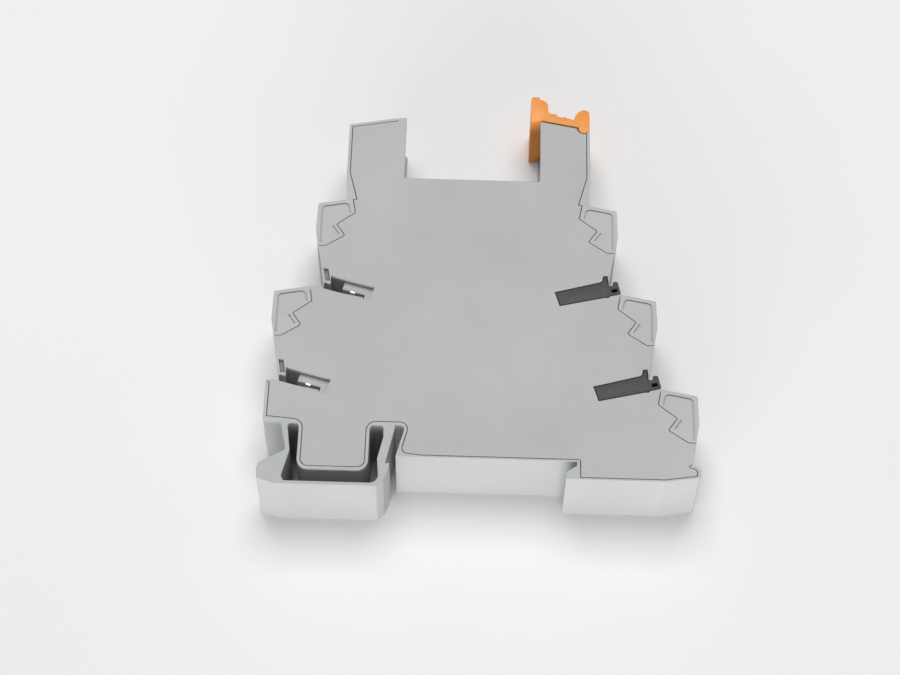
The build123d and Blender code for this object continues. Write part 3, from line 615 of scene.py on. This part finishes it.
def merged_copy(node, name):
    """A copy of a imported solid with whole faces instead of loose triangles."""
    piece = bpy.data.objects.new(name, frame["nodes"][node].data.copy())
    bpy.context.collection.objects.link(piece)
    only(piece)
    bpy.ops.object.mode_set(mode="EDIT")
    bpy.ops.mesh.select_all(action="SELECT")
    bpy.ops.mesh.remove_doubles(threshold=MERGE_WITHIN)
    bpy.ops.mesh.dissolve_limited(angle_limit=FLAT_WITHIN)
    bpy.ops.object.mode_set(mode="OBJECT")
    return piece


def pick_faces(obj, wanted):
    """Selects the faces that pass a test and says how many there are."""
    mesh = unpicked(obj)
    for face in mesh.polygons:
        face.select = wanted(face)
    found = sum(face.select for face in mesh.polygons)
    bpy.ops.object.mode_set(mode="EDIT")
    bpy.ops.mesh.select_mode(type="FACE")
    return found


def round_edges(piece, width, segments, sharp=SHARP_ABOVE):
    """Rounds every edge that is sharper than an angle."""
    edges = piece.modifiers.new("edges", "BEVEL")
    edges.width = width
    edges.segments = segments
    edges.limit_method = "ANGLE"
    edges.angle_limit = sharp
    apply_all(piece)
    bpy.ops.object.shade_smooth_by_angle(angle=SMOOTH_BELOW)


def stand_in(piece, node, material, body):
    """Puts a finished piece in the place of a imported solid."""
    dress(piece, material)
    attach(piece, body)
    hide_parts(node)


print("edges rounded above", round(degrees(SHARP_ABOVE)), "degrees")

# %% [markdown]
# ## The lever
#
# The orange lever is pressed and let go by a finger for years, so its edges are well rounded and catch
# the light. A shader can fake that, but the finished mesh would still be sharp. Its saddle stands a
# little clear of the prong, which draws the dark line between the two, so the saddle's face is moved up
# before the edges are rounded.

# %% Lever with its saddle clear of the prong
EDGE_ROUND = 0.16 * MM
EDGE_STEPS = 3
PRONG_TILT = radians(11)
SADDLE_UP = Vector((sin(PRONG_TILT), cos(PRONG_TILT), 0))
SADDLE_GAP = 0.34 * MM
FACES_PRONG = -0.9999

lever = merged_copy("relay_lever", "rounded_lever")
saddle_faces = pick_faces(lever, lambda face: face.normal.dot(SADDLE_UP) < FACES_PRONG)
bpy.ops.transform.translate(value=SADDLE_UP * SADDLE_GAP)
bpy.ops.object.mode_set(mode="OBJECT")
round_edges(lever, EDGE_ROUND, EDGE_STEPS)
stand_in(lever, "relay_lever", orange_plastic, "lever")
print("lever faces", len(lever.data.polygons), "saddle faces moved", saddle_faces)

# %% [markdown]
# ## The two slot fillers
#
# On the contact side a dark plastic strip fills each bridging slot. It is a small moulding of its own
# that is pushed in by hand. The imported solid could stay as it is, but its sharp edges catch no light.
# With the lever's rounded edges it shows a thin light line between the dark strip and the grey cover, which
# the painted edge highlight of its finish lightens further.

# %% Slot fillers with rounded edges
for level in ("upper", "lower"):
    filler = merged_copy("slot_insert_" + level, "rounded_filler_" + level)
    round_edges(filler, EDGE_ROUND, EDGE_STEPS)
    stand_in(filler, "slot_insert_" + level, dark_plastic, "base")
    print(filler.name, "faces", len(filler.data.polygons))

# %% [markdown]
# ## Springs in the open slots
#
# The two slots on the coil side are empty, so one looks into them and sees the bright end of a contact
# spring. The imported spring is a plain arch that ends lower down. A lug could be a block laid on top, but
# a pressed spring is one sheet. So its stand-in is that arch with a lug drawn up from its top edge: two
# bisect planes mark the lug's width, and the face between them is extruded up and a little across.

# %% Contact springs with a raised lug
SLOT_START = {"upper": Vector((-21.65, 32.90, 0)) * MM, "lower": Vector((-28.80, 12.65, 0)) * MM}
SLOT_TURN = Matrix.Rotation(-radians(15.5), 4, "Z")
SLOT_INWARDS = SLOT_TURN @ Vector((1, 0, 0))
SLOT_ACROSS = SLOT_TURN @ Vector((0, 1, 0))
LUG_RUN_MM = (3.15, 4.15)
LUG_RISE = 0.42 * MM
LUG_TOP = 6.6 * MM
LUG_ROUND = 0.05 * MM
LUG_STEPS = 2
LUG_SHARP = radians(40)
FACES_UP = 0.9
TOP_WITHIN = MM / 100


def lugged_spring(level):
    """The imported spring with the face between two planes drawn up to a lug."""
    node = "bridge_contact_" + level
    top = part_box(node)[1][2]
    cuts = [SLOT_START[level] - SLOT_INWARDS * run * MM for run in LUG_RUN_MM]
    ends = sorted(cut.dot(SLOT_INWARDS) for cut in cuts)

    def in_lug(face):
        on_top = face.normal.z > FACES_UP and face.center.z > top - TOP_WITHIN
        return on_top and ends[0] < face.center.dot(SLOT_INWARDS) < ends[1]

    piece = merged_copy(node, "lugged_spring_" + level)
    bpy.ops.object.mode_set(mode="EDIT")
    for cut in cuts:
        bpy.ops.mesh.select_all(action="SELECT")
        bpy.ops.mesh.bisect(plane_co=cut, plane_no=SLOT_INWARDS)
    found = pick_faces(piece, in_lug)
    rise = SLOT_ACROSS * LUG_RISE + Vector((0, 0, LUG_TOP - top))
    bpy.ops.mesh.extrude_region_move(TRANSFORM_OT_translate={"value": rise})
    bpy.ops.object.mode_set(mode="OBJECT")
    round_edges(piece, LUG_ROUND, LUG_STEPS, LUG_SHARP)
    stand_in(piece, node, spring_sheet, "base")
    print(piece.name, "lug from", found, "faces to", round(LUG_TOP / MM, 2), "mm")


for level in SLOT_START:
    lugged_spring(level)

# %% [markdown]
# ## Ribs beside the springs
#
# Along the near side of each open slot the housing has a small rib, so the dark trench is narrow and
# starts a little away from the slot's edge. It is a wedge, thin at its outer end. It could be drawn point
# by point, but a block with one edge moved sideways gives the same wedge, and its edges are rounded as a
# mould would leave them.

# %% Ribs beside the springs
RIB_SIZE = Vector((4.7, 0.42, 1.9)) * MM
RIB_PLACE = Vector((-3.74, 0.1, 5.93)) * MM
RIB_TAPER = 0.9
RIB_THINS = Vector((0, -RIB_SIZE.y * RIB_TAPER, 0))
BLOCK_ROUND = 0.03 * MM
BLOCK_STEPS = 2


def slanted_block(name, size, moved_side, shift, place):
    """A block with one side moved, rounded edges and a place on the housing."""
    bpy.ops.object.select_all(action="DESELECT")
    bpy.ops.mesh.primitive_cube_add(size=1, scale=size)
    block = bpy.context.active_object
    block.name = name
    bpy.ops.object.transform_apply(location=False, rotation=False, scale=True)
    pick_edges(block, moved_side)
    bpy.ops.transform.translate(value=shift)
    bpy.ops.object.mode_set(mode="OBJECT")
    round_edges(block, BLOCK_ROUND, BLOCK_STEPS)
    block.data.transform(place)
    dress(block, grey_plastic)
    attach(block, "base")


def outer_far_edge(point):
    """The upright edge that moves to make the wedge."""
    return point.x < 0 and point.y > 0


for level, start in SLOT_START.items():
    place = Matrix.Translation(start) @ SLOT_TURN @ Matrix.Translation(RIB_PLACE)
    slanted_block("slot_rib_" + level, RIB_SIZE, outer_far_edge, RIB_THINS, place)
print("ribs", round(RIB_SIZE.x / MM, 2), "mm long")

# %% [markdown]
# ## Webs in the outer windows
#
# Beside each open slot there is a small window that is not a hole: a web closes it below the surface. It
# could be a flat floor, but that lies half in the shadow of the window's wall. A sloping web is turned
# towards the light all over, so it reads an even mid-grey from above.

# %% Webs in the outer windows
WEB_SIZE = Vector((0.86, 2.76, 0.8)) * MM
WEB_LEAN = Vector((-0.5, 0, 1.7)) * MM
WEB_PLACE = Vector((-8.10, 5.50, 4.15)) * MM


def far_side(point):
    """The side that is lifted to make the slope."""
    return point.y > 0


for level, start in SLOT_START.items():
    slanted_block("window_web_" + level, WEB_SIZE, far_side, WEB_LEAN, Matrix.Translation(start + WEB_PLACE))
print("webs", round(WEB_SIZE.y / MM, 2), "mm long")

# %% [markdown]
# ## The table
#
# The socket lies on a pale table that is large enough to reach behind everything in view. A pure white
# floor would be simpler, but nothing real is quite white, and it would swallow the soft shadow. So its
# colour stays a little below white, with faint wide clouds.

# %% Floor
TABLE_SIZE = 6.0
TABLE_SPOTS = 9
TABLE_TONES = ((0.962, 0.967, 0.979), (0.984, 0.988, 0.995))
TABLE_GLOSS = 0.55
TABLE_SHINE = 0.25


def pale_floor(level):
    """A large table top whose surface is at a level."""
    bpy.ops.object.select_all(action="DESELECT")
    bpy.ops.mesh.primitive_plane_add(size=TABLE_SIZE, location=(0, 0, level))
    floor = bpy.context.active_object
    floor.name = "table_top"
    material, tree, shader = finish_named("pale_table")
    clouds = noise(tree, TABLE_SPOTS, detail=3)
    join(tree, clouded(tree, clouds, *TABLE_TONES), shader.inputs["Base Color"])
    shader.inputs["Roughness"].default_value = TABLE_GLOSS
    shader.inputs["Specular IOR Level"].default_value = TABLE_SHINE
    floor.data.materials.append(material)
    return floor


floor = pale_floor(cad_box[0][2])
print("floor at", round(floor.location.z / MM, 2), "mm")

# %% [markdown]
# ## The room's even light
#
# The socket stands before a nearly white backdrop, and yet its hollows are dark. One even world can't
# give both: pale enough for the backdrop, it would fill every hollow. So the kinds of ray are told
# apart. The camera, glossy surfaces and clear plastic see the pale backdrop, and every other ray meets
# a weak even light that only softens the shadows.

# %% World
WORLD_LEVEL = 0.20
WORLD_TINT = (0.97, 0.985, 1.0, 1)
BACKDROP = (0.875, 0.88, 0.895, 1)


def larger(tree, first, second):
    """The larger of two values."""
    node = put(tree, "ShaderNodeMath", operation="MAXIMUM")
    join(tree, first, node.inputs[0])
    join(tree, second, node.inputs[1])
    return node.outputs[0]


def studio_world():
    """A weak even light that looks like a pale backdrop."""
    world = bpy.data.worlds.new("studio")
    world.use_nodes = True
    tree = world.node_tree
    tree.nodes.clear()
    rays = put(tree, "ShaderNodeLightPath").outputs
    lit = put(tree, "ShaderNodeBackground", Strength=WORLD_LEVEL, Color=WORLD_TINT)
    seen = put(tree, "ShaderNodeBackground", Strength=1.0, Color=BACKDROP)
    choose = put(tree, "ShaderNodeMixShader")
    out = put(tree, "ShaderNodeOutputWorld")
    by_surface = larger(tree, rays["Is Glossy Ray"], rays["Is Transmission Ray"])
    join(tree, larger(tree, rays["Is Camera Ray"], by_surface), choose.inputs[0])
    join(tree, lit.outputs[0], choose.inputs[1])
    join(tree, seen.outputs[0], choose.inputs[2])
    join(tree, choose.outputs[0], out.inputs[0])
    bpy.context.scene.world = world
    return world


print("world", studio_world().name, "level", WORLD_LEVEL)

# %% [markdown]
# ## Two soft panels
#
# Two soft panels light the socket: one overhead and a little behind, which gives the flat top its even
# grey and lays a short shadow in front, and one low in front, which makes the rail side the brightest.
# One strong lamp would be simpler, but its hard shadow would hide the seams. The levels are plain: a
# colour renders about as it is written, so the finishes look right under other light too.

# %% Lamps
TOP_POWER = 9.7
TOP_SIZE = (0.9, 0.8)
TOP_PLACE = Vector((0.0, 0.45, 1.12))
FRONT_POWER = 16.6
FRONT_SIZE = (1.4, 0.35)
FRONT_PLACE = Vector((-0.2, -1.3, 0.2))
FRONT_TINT = (1.0, 0.995, 0.965)
LIT_POINT = Vector((0, 0.04, 0))


def soft_lamp(name, size, power, place, colour=(1, 1, 1)):
    """A flat panel that faces the socket."""
    data = bpy.data.lights.new(name, "AREA")
    data.color = colour
    data.shape = "RECTANGLE"
    data.size, data.size_y = size
    data.energy = power
    lamp = bpy.data.objects.new(name, data)
    bpy.context.collection.objects.link(lamp)
    lamp.location = place
    lamp.rotation_euler = (LIT_POINT - place).to_track_quat("-Z", "Y").to_euler()


soft_lamp("top_panel", TOP_SIZE, TOP_POWER, TOP_PLACE)
soft_lamp("low_front_panel", FRONT_SIZE, FRONT_POWER, FRONT_PLACE, FRONT_TINT)
bpy.context.scene.view_settings.view_transform = "Standard"

# %% [markdown]
# ## Last step
#
# The box of the imported solids, taken at the start, is printed. No finish and no finer piece
# should grow past the solids.

# %% Sizes and finish
print("packed solids", [round((high - low) / MM, 2) for low, high in zip(*cad_box)], "mm")
